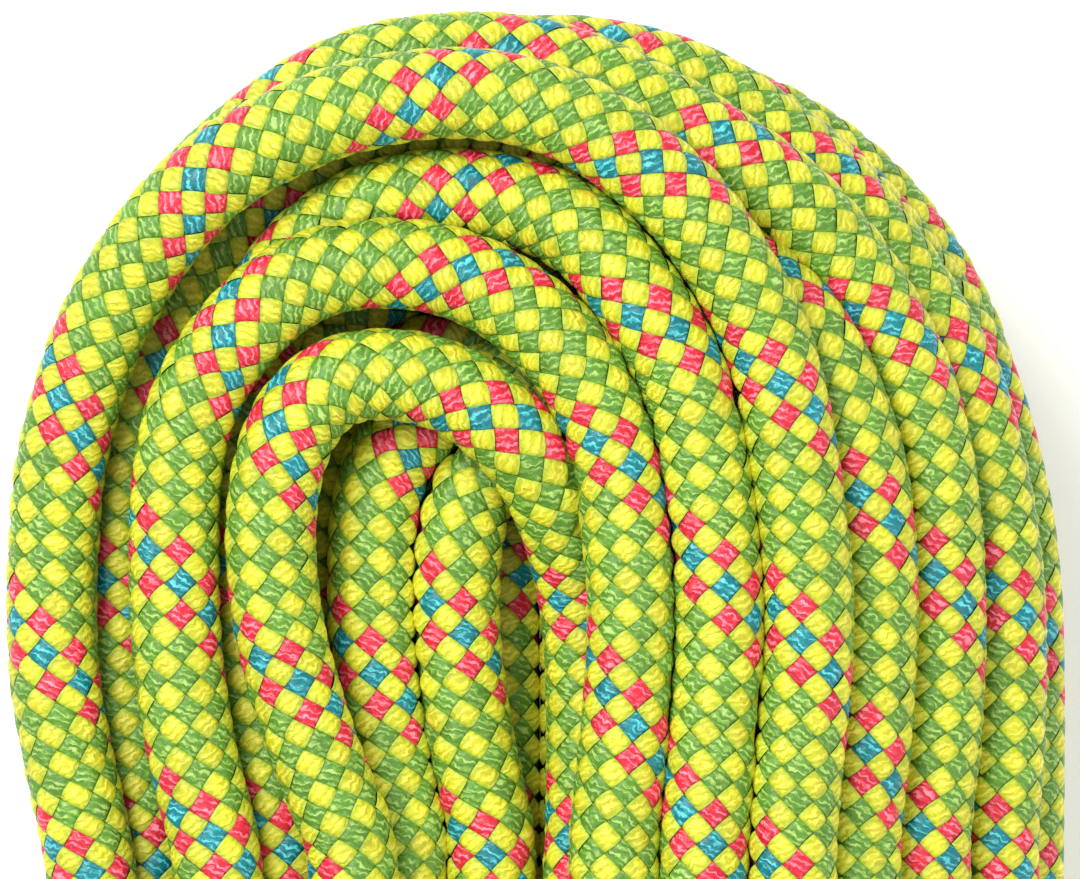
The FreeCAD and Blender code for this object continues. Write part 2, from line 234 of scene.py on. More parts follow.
# %% The turns that show on top
# Each is a list of places round the looped end, in millimetres: across, back from the tip, and down from the
# top of the pile.
TOP_TURNS = [
    ("innermost", [
        (-20.7, 93.8, 0), (-23.1, 88.2, 0), (-25.3, 82.7, 0), (-27.2, 77.1, 0), (-28.7, 71.5, 0),
        (-29.7, 65.9, 0), (-30.2, 60.4, 0), (-30, 54.8, 0), (-28.9, 49.2, 0), (-26.8, 45, 0),
        (-23.6, 41.9, 0), (-19.5, 40.7, 0), (-15, 40.8, 0), (-10.9, 41.8, 0), (-6.7, 44.2, 0),
        (-2.8, 47.8, 0.5), (0.1, 51.7, 2), (2.2, 56.1, 4.5), (3.9, 60.9, 7), (4.9, 65.9, 8.2),
        (5.6, 72.6, 8.4), (5.8, 79.3, 8.4), (5.8, 87.1, 8.4), (5.6, 93.8, 7.5),
    ]),
    ("second", [
        (-36.2, 93.8, 2), (-37.8, 88.2, 2), (-39.1, 82.7, 2), (-40, 77.1, 2), (-40.7, 71.5, 2),
        (-41, 65.9, 2), (-41, 59.8, 2), (-40.9, 54.3, 2), (-40.2, 48.7, 1.5), (-38.8, 43.9, 1),
        (-36.4, 39.4, 1), (-33.3, 35.4, 0.5), (-29.2, 31.6, 0.5), (-24.6, 29.2, 0.5), (-20.1, 28.3, 0.5),
        (-15.4, 28.3, 0.5), (-10.7, 29, 0.5), (-5.8, 30.9, 0.5), (-0.7, 34.4, 0.3), (3.9, 39.2, 0),
        (7, 44.9, 0), (8.8, 51.1, 0), (9.8, 58.7, 0), (10.4, 65.9, 0), (10.2, 72.1, 0), (9.8, 78.2, 0),
        (9.1, 84.9, 0), (8.1, 93.8, 0),
    ]),
    ("third", [
        (-28.6, 93.8, 8.5), (-29.6, 88.2, 8.5), (-31, 82.1, 9), (-32.3, 76, 9), (-33.1, 70.4, 9),
        (-33.4, 63.7, 9.2), (-33.6, 57, 9.2), (-33.9, 50.4, 9), (-33.4, 43.7, 8.5), (-32.3, 37.5, 8),
        (-30.1, 31.4, 7), (-26.2, 26.7, 6), (-22.6, 24.1, 5.5), (-19.2, 22.1, 5), (-14.7, 20.8, 5),
        (-10, 20.4, 5), (-4.8, 20.8, 4.5), (0.6, 22.3, 3.5), (5.6, 25.4, 1.8), (9.1, 29.5, 0.6),
        (11.8, 33.1, 0), (13.8, 36.5, 0), (15.6, 40, 0), (17.2, 44.2, 0), (18.3, 50.4, 0),
        (19.2, 56.5, 0), (19.8, 62.6, 0), (20.1, 68.7, 0), (19.8, 76.5, 0), (19, 84.9, 0),
        (18.2, 93.8, 0),
    ]),
    ("fourth", [
        (-50.8, 93.8, 6.5), (-52, 88.2, 6.5), (-53.2, 82.7, 6.5), (-54.3, 77.1, 6.5), (-54.8, 71, 6.5),
        (-54.9, 64.8, 6.5), (-54.6, 59.3, 6.5), (-54.3, 54.3, 6), (-53.5, 48.9, 5.5), (-51.6, 42, 5),
        (-49, 34.8, 4), (-45.3, 28.4, 3), (-40.9, 22.5, 2), (-36, 17.8, 1), (-28.5, 13.5, 0.3),
        (-21.8, 11, 0), (-15.8, 9.7, 0), (-10, 9.2, 0), (-3.9, 9.6, 0), (3.9, 11.9, 0), (9.8, 15.8, 0),
        (16.2, 21.5, 0), (19.8, 26.4, 0), (22.6, 31, 0.2), (24.8, 35.4, 0.5), (26.4, 39.9, 0.5),
        (27.5, 44.9, 0.5), (28.7, 51.9, 0.5), (29.6, 59.3, 0.5), (30.1, 65.9, 0.5), (30, 72.6, 0.5),
        (29.3, 81, 0.5), (28.6, 87.1, 0.5), (28.1, 93.8, 0.5),
    ]),
    ("fifth", [
        (-43.8, 93.8, 12.8), (-44.8, 88.2, 12.8), (-45.8, 82.7, 13), (-46.6, 77.1, 13.2),
        (-47.1, 71.5, 13.2), (-47.3, 65.9, 13.2), (-47.3, 59.8, 13.2), (-47.1, 53.7, 13),
        (-46.6, 48.1, 12.8), (-44.9, 42, 12.6), (-42.6, 36.4, 12.8), (-39.7, 31.2, 13),
        (-36.4, 26.7, 13), (-32.3, 22.3, 13), (-27, 18.5, 13), (-21.2, 16, 13), (-15.6, 14.8, 13),
        (-10, 14.3, 13), (-3.3, 14.4, 13), (3.9, 15.8, 12.5), (10.6, 18.8, 12), (17.3, 23.5, 11),
        (23.2, 29, 10), (27.9, 33.2, 8.5), (31.6, 38.3, 7.5), (33.9, 43.8, 7), (35.9, 49.5, 7),
        (36.9, 55.9, 7), (37.4, 61.5, 7), (37.5, 68.2, 7), (37.2, 76, 7), (36.7, 82.7, 7), (36, 88.2, 7),
        (35.4, 93.8, 7),
    ]),
    ("outer", [
        (-49.6, 93.8, 16.5), (-51.2, 88.2, 16.5), (-52.6, 82.7, 16.5), (-53.5, 77.1, 16.5),
        (-53.9, 70.4, 16.5), (-54, 63.7, 16.5), (-53.8, 57, 16.3), (-53, 49.2, 16), (-51, 41.4, 15.5),
        (-48.1, 33.9, 14.5), (-44.2, 27, 13.5), (-39.7, 20.9, 12.5), (-34.5, 15.8, 11),
        (-29.4, 11.7, 9.8), (-24.5, 8.7, 9), (-19.6, 6.6, 8.7), (-14.8, 5.5, 8.6), (-9.8, 5, 8.6),
        (-4.5, 5, 8.6), (1.7, 6, 8.6), (8.6, 8.7, 8.6), (15.3, 12.3, 8.7), (21.6, 16.4, 9),
        (27.7, 20.6, 10), (32.9, 26.1, 11.5), (36.5, 31.1, 12.5), (39.5, 36.4, 13), (41.7, 41.4, 13),
        (43.2, 46.7, 13), (44.4, 52.6, 13), (45.1, 60.4, 13), (45.3, 67.1, 13), (45.2, 73.7, 13),
        (44.7, 82.7, 13), (44, 88.2, 13), (43.4, 93.8, 13),
    ]),
    ("right_edge", [
        (-49.6, 93.8, 25.5), (-51, 88.2, 25.5), (-52.1, 82.7, 25.5), (-52.8, 76, 25.5),
        (-53.1, 68.2, 25.5), (-53.1, 60.4, 25.5), (-52.7, 52.6, 25.3), (-51.5, 44.8, 25),
        (-49.2, 37.5, 24.5), (-45.9, 30.7, 23.5), (-41.8, 25, 22.5), (-36.5, 19.6, 21), (-30.6, 15, 20),
        (-24.3, 11.1, 19), (-17.3, 8, 18.4), (-10.6, 6.2, 18.2), (-4.5, 5.3, 18.2), (1.7, 5, 18.2),
        (6.3, 5.3, 18.3), (11.1, 6.2, 18.5), (16.2, 7.7, 18.7), (20.8, 10, 19), (26, 13.7, 19.3),
        (31.3, 18.3, 19.6), (36.9, 24.3, 19.8), (41.9, 31.5, 19.9), (45.6, 37.8, 20), (47.9, 42.7, 20),
        (49.6, 48.7, 20), (51.4, 57.6, 20), (52.2, 65.9, 20), (52.4, 73.2, 20), (52.2, 80.4, 20),
        (51.8, 88.2, 20), (51.4, 93.8, 20),
    ]),
    ("right_rim", [
        (-42.3, 93.8, 27.6), (-43.2, 86, 27.6), (-43.8, 77.1, 27.6), (-44.1, 68.2, 27.6),
        (-44.1, 59.3, 27.6), (-43.7, 50.4, 27.6), (-42.6, 42.6, 27.6), (-40.4, 35, 27.6),
        (-37, 27.9, 27.6), (-31.7, 21.4, 27.6), (-25.1, 15.8, 27.6), (-17.3, 11.6, 27.5),
        (-8.9, 8.9, 27.5), (-0.6, 7.6, 27.5), (7.8, 7.8, 27.6), (15.6, 9.1, 28), (22.8, 11.6, 28.3),
        (29.5, 15.8, 28.6), (34.5, 20.3, 29), (39.5, 25.8, 29.2), (44.4, 32.5, 29.3), (48.6, 39.3, 29.3),
        (51.1, 46.2, 29.3), (53.1, 54.6, 29.3), (54.1, 61.5, 29.3), (54.6, 68.2, 29.3),
        (54.7, 77.1, 29.3), (54.7, 86, 29.3), (54.6, 93.8, 29.3),
    ]),
    ("inner_left", [
        (-14.9, 93.8, 8.6), (-16.3, 88.2, 8.6), (-17.4, 82.7, 8.6), (-18.3, 77.1, 8.6),
        (-18.8, 71.5, 8.6), (-18.9, 65.9, 8.6), (-18.8, 60.4, 8.6), (-18.5, 55.4, 8.8),
        (-17.3, 50.9, 9.2), (-15.2, 47.8, 9.6), (-12, 44.8, 9.8), (-7.8, 42.7, 9.8), (-2.8, 41.8, 9.8),
        (2.2, 42.6, 9.8), (6.7, 45, 9.8), (10.6, 49.2, 9.7), (13.1, 55.4, 9.6), (14.5, 61.5, 9.4),
        (15, 68.2, 9.3), (15.2, 76, 9.2), (14.7, 84.9, 9.2), (13.9, 93.8, 9.2),
    ]),
    ("inner_middle", [
        (-5.3, 93.8, 8.6), (-6.6, 88.2, 8.6), (-7.8, 82.7, 8.6), (-8.8, 77.1, 8.6), (-9.4, 71.5, 8.6),
        (-9.6, 65.9, 8.6), (-9.5, 61.5, 8.6), (-8.8, 57, 9), (-7.4, 53.5, 9.6), (-4.8, 50.6, 10.2),
        (-0.6, 47.7, 13), (4.5, 45.9, 16), (10, 45.3, 18.5), (15.6, 46.5, 18.7), (20.3, 49.2, 18),
        (23.2, 53.7, 14), (24.7, 59.3, 10.5), (25.2, 65.9, 9.6), (25.2, 74.9, 9.4), (24.7, 84.9, 9.4),
        (24, 93.8, 9.4),
    ]),
]
WOUND_ORDER = ["inner_middle", "inner_left", "right_rim", "right_edge", "outer", "fifth", "fourth", "third",
               "second", "innermost"]
# Where the legs of these turns lie in the rest of the hank: (across, down) of the left leg and the right leg.
TOP_LEGS = {
    "inner_middle": ((-9.2, 8.6), (25.0, 9.2)),
    "inner_left": ((-18.7, 8.6), (15.2, 9.2)),
    "right_rim": ((-44.1, 27.6), (53.9, 29.3)),
    "right_edge": ((-53.9, 27.0), (52.4, 19.8)),
    "outer": ((-53.5, 18.0), (46.4, 12.0)),
    "fifth": ((-48.3, 10.5), (38.6, 6.0)),
    "fourth": ((-41.0, 4.0), (29.7, 1.0)),
    "third": ((-27.6, 8.6), (20.0, 0.0)),
    "second": ((-32.6, 0.5), (10.2, 0.0)),
    "innermost": ((-22.8, 0.0), (5.0, 8.5)),
}
print("turns on top:", len(TOP_TURNS))

# %% [markdown]
# ## The two ends
#
# The lower end comes out from under the hank's rear and bends to one side.  The upper end has gone round the
# waist about five and a half times, and then leaves the last wrap and lies along the foot of the hank.  Both
# are short lists of points, the same as in the CAD model.

# %% Routes of the two ends and of the wraps
LOWER_END = [
    (50.0 * MM, TAIL_Y - 57.0 * MM, LYING_HEIGHT),
    (8.0 * MM, TAIL_Y - 46.0 * MM, LYING_HEIGHT),
    (-20.0 * MM, TAIL_Y - 13.0 * MM, LYING_HEIGHT),
    (-27.5 * MM, TAIL_Y + 30.0 * MM, LYING_HEIGHT),
]
UPPER_END = [
    (-49.6 * MM, wraps_low.y, 22.5 * MM),
    (-53.0 * MM, wraps_low.y - 34.0 * MM, 13.0 * MM),
    (-54.25 * MM, wraps_low.y - 73.0 * MM, LYING_HEIGHT),
    (-53.6 * MM, wraps_low.y - 113.0 * MM, LYING_HEIGHT),
    (-54.25 * MM, wraps_low.y - 153.0 * MM, LYING_HEIGHT),
]
WRAPS = 5.69
WRAP_STEPS = 16
WRAP_SQUARENESS = 2 / 3
WAIST_HALF_WIDTH = 99 * MM / 2


def wraps_round_waist():
    """Places along the wraps, from the middle of the top, over the right side, to the lower left."""
    centre_z = (wraps_low.z + wraps_high.z) / 2
    half_width = WAIST_HALF_WIDTH + RADIUS
    half_height = (wraps_high.z - wraps_low.z) / 2 - RADIUS
    places = []
    for step in range(2, round(WRAPS * WRAP_STEPS)):
        angle = math.pi / 2 - 2 * math.pi * step / WRAP_STEPS
        across = math.copysign(abs(math.cos(angle)) ** WRAP_SQUARENESS, math.cos(angle))
        rise = math.copysign(abs(math.sin(angle)) ** WRAP_SQUARENESS, math.sin(angle))
        y = wraps_high.y - RADIUS - step / WRAP_STEPS * ROPE
        places.append(Vector((half_width * across, y, centre_z + half_height * rise)))
    return places


# %% The whole route
TRACE_END_Y = TIP_Y - 94 * MM
BLEND = 50 * MM
BEFORE_TRACE = 12 * MM


def rear_arch(right_leg, next_left):
    """The arch at the hank's rear, from one turn to the next."""
    half = abs(right_leg[0] - next_left[0]) / 2
    return arch(right_leg, next_left, REAR_BEND_Y, half + ARCH_SPARE)


def blended_leg(traced_end, rear_x, rear_z):
    """Places of a leg from the rear bend to a traced end.  It goes over from one to the other."""
    places = []
    for step in range(1, LEG_STEPS + 1):
        y = REAR_BEND_Y + (TRACE_END_Y - BEFORE_TRACE - REAR_BEND_Y) * step / LEG_STEPS
        share = 1 - smooth((traced_end.y - y) / BLEND)
        places.append(drawn_in(rear_x, y, rear_z).lerp(Vector((traced_end.x, y, traced_end.z)), share))
    return places


traces = {}
for name, places in TOP_TURNS:
    traces[name] = [Vector((x * MM, TIP_Y - back * MM, TOP_Z - down * MM)) for x, back, down in places]
top_legs = {}
for name, (left, right) in TOP_LEGS.items():
    left_leg = (left[0] * MM, TOP_Z - left[1] * MM)
    right_leg = (right[0] * MM, TOP_Z - right[1] * MM)
    top_legs[name] = (left_leg, right_leg)

route = [Vector(place) for place in LOWER_END]
first_place = {}
left_legs = [left for left, _ in plain_turns] + [top_legs[name][0] for name in WOUND_ORDER]
for index, (left, right) in enumerate(plain_turns):
    route += leg(*left, REAR_BEND_Y, FRONT_BEND_Y)
    route += arch(left, right, FRONT_BEND_Y, right[0] + ARCH_SPARE)
    route += leg(*right, FRONT_BEND_Y, REAR_BEND_Y)
    route += rear_arch(right, left_legs[index + 1])

for index, name in enumerate(WOUND_ORDER):
    first_place[name] = len(route)
    trace = traces[name]
    left, right = top_legs[name]
    route += blended_leg(trace[0], *left)
    route += trace
    if name != WOUND_ORDER[-1]:
        route += blended_leg(trace[-1], *right)[::-1]
        route += rear_arch(right, left_legs[len(plain_turns) + index + 1])

# The last turn stops at the waist and goes over into the wraps.
ABOVE_WAIST_Z = wraps_high.z - RADIUS
route += [
    Vector((5.0 * MM, TIP_Y - 105 * MM, TOP_Z - 4.5 * MM)),
    Vector((3.5 * MM, TIP_Y - 120 * MM, TOP_Z + 1 * MM)),
    Vector((3.0 * MM, TIP_Y - 134 * MM, ABOVE_WAIST_Z - 3 * MM)),
    Vector((6.0 * MM, wraps_high.y - RADIUS + 6 * MM, ABOVE_WAIST_Z)),
]
route += wraps_round_waist()
route += [Vector(place) for place in UPPER_END]
print("route places:", len(route))

# %% Make the route a NURBS curve and read its line
SPAN_SAMPLES = 8


def smooth_line(places):
    """The curve object of a route, and the points of its smooth line."""
    data = bpy.data.curves.new("rope_route", "CURVE")
    data.dimensions = "3D"
    data.resolution_u = SPAN_SAMPLES
    spline = data.splines.new("NURBS")
    spline.points.add(len(places) - 1)
    for point, place in zip(spline.points, places):
        point.co = (*place, 1.0)
    spline.order_u = 3
    spline.use_endpoint_u = True
    curve = bpy.data.objects.new("rope_route", data)
    scene.collection.objects.link(curve)
    bpy.context.view_layer.update()
    mesh = bpy.data.meshes.new_from_object(curve)
    line = np.empty(len(mesh.vertices) * 3)
    mesh.vertices.foreach_get("co", line)
    bpy.data.meshes.remove(mesh)
    bpy.data.objects.remove(curve)
    return line.reshape(-1, 3)


line = smooth_line(route)
steps = np.linalg.norm(np.diff(line, axis=0), axis=1)
line_travel = np.concatenate([[0.0], np.cumsum(steps)])
ROPE_LENGTH = line_travel[-1]
print("samples:", len(line), "rope length: %.2f m" % ROPE_LENGTH)


def travel_at(place_number):
    """How far along the rope a control place of the route is."""
    sample = (place_number - 0.5) * (len(line) - 1) / (len(route) - 2)
    return float(np.interp(sample, np.arange(len(line)), line_travel))


# %% [markdown]
# ## A frame that travels along the rope
#
# To weave round the line, every point of it needs an upward and a sideways direction that do not spin.  Each
# step carries the pair on from the step before and only tilts it with the line, which is how a rope laid
# without twist keeps its pattern on the same side.
#
# Three neighbouring yarns of one hand are tracers, pink, teal and pink, and show as a stripe that winds round
# the rope once in every eight rows.  A slow twist of the rope brings the stripe to the top where it shows.

# %% Carry a frame along the line
ROWS = int(ROPE_LENGTH / ROW)
FRAMES_PER_ROW = 4
frame_travel = np.arange(ROWS * FRAMES_PER_ROW + 1) * ROW / FRAMES_PER_ROW
centres = np.stack([np.interp(frame_travel, line_travel, line[:, k]) for k in range(3)], axis=1)
ways = np.gradient(centres, axis=0)
ways /= np.linalg.norm(ways, axis=1)[:, None]
ups = np.empty_like(centres)
up = np.array([0.0, 0.0, 1.0])
for number, way in enumerate(ways):
    up = up - way * np.dot(up, way)
    up = up / np.linalg.norm(up)
    ups[number] = up
sides = np.cross(ups, ways)
print("frames:", len(frame_travel))

# %% Twist the rope so that its stripe shows in the right places
# Where the stripe crosses the middle of each turn: across and back from the tip, in millimetres.
STRIPES = {
    "inner_middle": [(-6.2, 95.0), (-9.7, 69.0)],
    "inner_left": [(-18.3, 74.6), (-14.7, 48.1)],
    "right_rim": [(48.5, 38.1), (54.7, 66.0), (54.7, 95.0)],
    "right_edge": [(3.9, 4.7), (29.9, 16.9), (45.9, 37.5), (52.4, 65.7), (51.6, 93.2)],
    "outer": [(-32.9, 14.7), (-4.7, 4.1), (17.8, 13.8), (38.4, 34.5), (45.5, 63.7), (43.6, 92.4)],
    "fifth": [(-44.2, 95.1), (-47.3, 65.9), (-43.4, 38.1), (-29.0, 21.4), (37.4, 54.8), (36.7, 82.7)],
    "fourth": [(-50.5, 97.0), (-54.8, 73.2), (-52.9, 45.0), (-38.2, 20.1), (-12.8, 9.4), (11.1, 17.3),
               (26.7, 41.7), (29.7, 71.3), (27.9, 98.0)],
    "third": [(-9.8, 20.5), (12.8, 35.0), (19.9, 63.4), (18.2, 92.1)],
    "second": [(-36.9, 92.5), (-41.0, 63.2), (-34.5, 37.5), (-9.5, 29.2), (8.6, 49.8), (9.8, 79.5)],
    "innermost": [(-28.0, 74.3), (-29.0, 48.7), (-5.6, 45.0), (5.2, 68.2)],
}
YARN_REPEAT = 8
TEAL_YARN = 1.5
# A turn is looked through for its stripe over this many frames, about one and a half metres.
TURN_FRAMES = 1700
top_angle = np.arctan2(sides[:, 2], ups[:, 2]) / (2 * math.pi)

twist_rows = [0.0]
twist_turns = [0.0]
for name in WOUND_ORDER:
    start = int(travel_at(first_place[name]) / ROW * FRAMES_PER_ROW)
    keys = []
    turn = centres[start:start + TURN_FRAMES]
    for x, back in STRIPES[name]:
        near = np.hypot(turn[:, 0] - x * MM, turn[:, 1] - TIP_Y + back * MM)
        keys.append(start + int(np.argmin(near)))
    for frame_number in sorted(keys):
        row = frame_number / FRAMES_PER_ROW
        turns = (TEAL_YARN - row) / YARN_REPEAT + top_angle[frame_number]
        turns += round(twist_turns[-1] - turns)
        twist_rows.append(row)
        twist_turns.append(turns)
twist = np.interp(frame_travel / ROW, twist_rows, twist_turns)
angles = 2 * math.pi * twist
out_a = ups * np.cos(angles)[:, None] + sides * np.sin(angles)[:, None]
out_b = sides * np.cos(angles)[:, None] - ups * np.sin(angles)[:, None]
print("twist keys:", len(twist_rows), "largest change:", round(float(np.abs(np.diff(twist_turns)).max()), 2))

# %% [markdown]
# ## The rope as a cord
#
# Under the braid lies its bed, one tube along the whole rope.  It is what shows in the creases between the
# yarns, in a dark olive that is painted shade, and it is the piece that stands for the cord.  Its rings stand
# close together in the bends and far apart on the straight legs, which keeps the tube light and its bends
# round.

# %% The bed of the sheath
BED_RADIUS = 4.1 * MM
BED_SIDES = 12
MOST_TURN = math.radians(8)
LONGEST_STEP = 20 * MM


def rings_along():
    """Numbers of the frames where the bed has a ring."""
    chosen = [0]
    for number in range(1, len(centres) - 1):
        turned = math.acos(min(1.0, max(-1.0, float(np.dot(ways[chosen[-1]], ways[number])))))
        gone = frame_travel[number] - frame_travel[chosen[-1]]
        if turned > MOST_TURN or gone > LONGEST_STEP:
            chosen.append(number)
    return np.array(chosen + [len(centres) - 1])


def mesh_object(name, corners, faces, materials=()):
    """A mesh object from arrays of corners and of equal faces."""
    mesh = bpy.data.meshes.new(name)
    count, sides_each = faces.shape
    mesh.vertices.add(len(corners))
    mesh.vertices.foreach_set("co", np.ascontiguousarray(corners, dtype=np.float32).ravel())
    mesh.loops.add(faces.size)
    mesh.loops.foreach_set("vertex_index", faces.astype(np.int32).ravel())
    mesh.polygons.add(count)
    mesh.polygons.foreach_set("loop_start", np.arange(count, dtype=np.int32) * sides_each)
    for material in materials:
        mesh.materials.append(material)
    mesh.update(calc_edges=True)
    made = bpy.data.objects.new(name, mesh)
    scene.collection.objects.link(made)
    return made


ring_frames = rings_along()
spokes = 2 * math.pi * np.arange(BED_SIDES) / BED_SIDES
spoke_a = np.cos(spokes)[None, :, None] * out_a[ring_frames][:, None, :]
spoke_b = np.sin(spokes)[None, :, None] * out_b[ring_frames][:, None, :]
bed_corners = (centres[ring_frames][:, None, :] + BED_RADIUS * (spoke_a + spoke_b)).reshape(-1, 3)
ring_number = np.arange(len(ring_frames) - 1)[:, None] * BED_SIDES
here = np.arange(BED_SIDES)[None, :]
beside = (here + 1) % BED_SIDES
bed_faces = np.stack([
    ring_number + here,
    ring_number + BED_SIDES + here,
    ring_number + BED_SIDES + beside,
    ring_number + beside,
], axis=-1).reshape(-1, 4)
print("bed rings:", len(ring_frames), "faces:", len(bed_faces))

# %% [markdown]
# ## Materials
#
# All yarns are dyed nylon, melt-spun and twisted, and they differ in colour and a little in shine.  A float
# is made of a few plies, which lie side by side with a slight slant and shine where they are roundest; that
# shine is painted into the colour as bright wavy lines, painted highlights, with painted shade between them.
# Filaments are too fine to show, so they are drawn several times too coarse, as short streaks, painted
# highlights and bumps that give a silky, broken shine.  Towards the edges of a float the colour is painted
# darker, as painted shade in the creases, and the yellow one is painted lime there, a painted reflection of
# the green of its neighbours.

# %% Helpers for materials


def to_linear(code):
    """A colour written as sRGB hex, as linear light."""
    parts = [int(code[k:k + 2], 16) / 255 for k in (1, 3, 5)]
    linear = [p / 12.92 if p <= 0.04045 else ((p + 0.055) / 1.055) ** 2.4 for p in parts]
    return (*linear, 1.0)


def new_material(name):
    """An empty node material with its surface shader."""
    material = bpy.data.materials.new(name)
    material.use_nodes = True
    return material, material.node_tree, material.node_tree.nodes["Principled BSDF"]


def add_node(tree, kind, settings=(), values=(), links=()):
    """Add a node, with its settings, the values of its inputs and the links into them."""
    node = tree.nodes.new(kind)
    for key, value in settings:
        setattr(node, key, value)
    for key, value in values:
        node.inputs[key].default_value = value
    for key, source in links:
        tree.links.new(source, node.inputs[key])
    return node


def math_node(tree, operation, first, second=0.0, third=0.0):
    """A math node whose inputs are numbers or outputs of other nodes."""
    node = tree.nodes.new("ShaderNodeMath")
    node.operation = operation
    for index, value in enumerate((first, second, third)):
        if isinstance(value, (int, float)):
            node.inputs[index].default_value = value
        else:
            tree.links.new(value, node.inputs[index])
    return node.outputs[0]


# %% Material of the yarns


def yarn_material(name, painted_rim_shade, body, light, shine, rim=0.6):
    """Dyed nylon yarn, its colour darkened by painted shade from the rim out to the creases and brightened by
    painted highlights on the plies.
    """
    material, tree, shader = new_material(name)
    uv = add_node(tree, "ShaderNodeUVMap", [("uv_map", "Yarn")])
    parts = add_node(tree, "ShaderNodeSeparateXYZ", links=[(0, uv.outputs[0])])
    along, across = parts.outputs[0], parts.outputs[1]
    shade = add_node(tree, "ShaderNodeAttribute", [("attribute_name", "shade")]).outputs["Fac"]

    # wander: each float's plies wave in their own way
    spot = add_node(tree, "ShaderNodeCombineXYZ", links=[
        (0, math_node(tree, "MULTIPLY", along, 1.3)),
        (1, math_node(tree, "MULTIPLY", across, 1.1)),
        (2, math_node(tree, "MULTIPLY", shade, 37.0)),
    ])
    wander = add_node(tree, "ShaderNodeTexNoise", values=[("Scale", 2.3), ("Detail", 3.0)],
                      links=[("Vector", spot.outputs[0])]).outputs["Fac"]
    # ply_phase: three plies across a float, with a slant
    slant = math_node(tree, "MULTIPLY_ADD", along, 0.75, math_node(tree, "MULTIPLY", wander, 1.9))
    ply_phase = math_node(tree, "MULTIPLY_ADD", across, 3.0, slant)
    ply = math_node(tree, "SINE", math_node(tree, "MULTIPLY", ply_phase, 2 * math.pi))
    # fibre: filaments, many to a ply
    thin = add_node(tree, "ShaderNodeCombineXYZ", links=[
        (0, math_node(tree, "MULTIPLY", along, 2.9)),
        (1, math_node(tree, "MULTIPLY", ply_phase, 3.2)),
        (2, math_node(tree, "MULTIPLY", shade, 91.0)),
    ])
    fibre = add_node(tree, "ShaderNodeTexNoise", values=[("Scale", 1.0), ("Detail", 3.0), ("Roughness", 0.6)],
                     links=[("Vector", thin.outputs[0])]).outputs["Fac"]

    # edge: 0 in the middle of a float, 1 at its rim
    off_along = math_node(tree, "ABSOLUTE", math_node(tree, "MULTIPLY_ADD", along, 2.0, -1.0))
    off_across = math_node(tree, "ABSOLUTE", math_node(tree, "MULTIPLY_ADD", across, 2.0, -1.0))
    edge = math_node(tree, "MAXIMUM", off_along, off_across)
    # Painted shade: the colour darkens in the creases at a float's rim; in the yellow yarn it turns lime
    # there, a painted reflection of the green around it.
    rim_shade_mask = add_node(tree, "ShaderNodeMapRange", [("interpolation_type", "SMOOTHSTEP")],
                      [("From Min", rim), ("From Max", 1.03), ("To Min", 0.0), ("To Max", 1.0)],
                      [("Value", edge)]).outputs[0]

    # The plies' shine, set out as a pattern of painted highlight and painted shade for the colour.
    ply_light_and_shade = math_node(tree, "MULTIPLY_ADD", ply, 0.3, math_node(tree, "MULTIPLY_ADD", fibre, 2.4, -1.1))
    painted_highlight_mask = add_node(tree, "ShaderNodeMapRange", [],
                     [("From Min", 0.1), ("From Max", 0.6), ("To Min", 0.0), ("To Max", 1.0)],
                     [("Value", ply_light_and_shade)]).outputs[0]
    # painted shade: the dark side of a ply, between the painted highlights
    painted_ply_shade = add_node(tree, "ShaderNodeMapRange", [],
                   [("From Min", -0.6), ("From Max", 0.1), ("To Min", 0.64), ("To Max", 1.0)],
                   [("Value", ply_light_and_shade)]).outputs[0]
    # The body colour brightens to the light colour where the painted highlights fall.
    lit = add_node(tree, "ShaderNodeMix", [("data_type", "RGBA")],
                   [(6, to_linear(body)), (7, to_linear(light))], [(0, painted_highlight_mask)])
    # The painted rim shade is mixed in over the highlighted colour here.
    rim_shaded = add_node(tree, "ShaderNodeMix", [("data_type", "RGBA")], [(7, to_linear(painted_rim_shade))],
                       [(0, math_node(tree, "MULTIPLY", rim_shade_mask, 0.8)), (6, lit.outputs[2])])
    # Painted shade between the plies, times each float's own random tone.
    varied = add_node(tree, "ShaderNodeHueSaturation", links=[
        ("Value", math_node(tree, "MULTIPLY", painted_ply_shade, math_node(tree, "MULTIPLY_ADD", shade, 0.2, 0.88))),
        ("Color", rim_shaded.outputs[2]),
    ])
    tree.links.new(varied.outputs[0], shader.inputs["Base Color"])

    shader.inputs["Roughness"].default_value = shine
    shader.inputs["IOR"].default_value = 1.5
    height = math_node(tree, "MULTIPLY_ADD", ply, 0.4, fibre)
    bump = add_node(tree, "ShaderNodeBump", values=[("Strength", 0.75), ("Distance", 0.00012)],
                    links=[("Height", height)])
    tree.links.new(bump.outputs[0], shader.inputs["Normal"])
    return material


# %% Materials of the smaller pieces


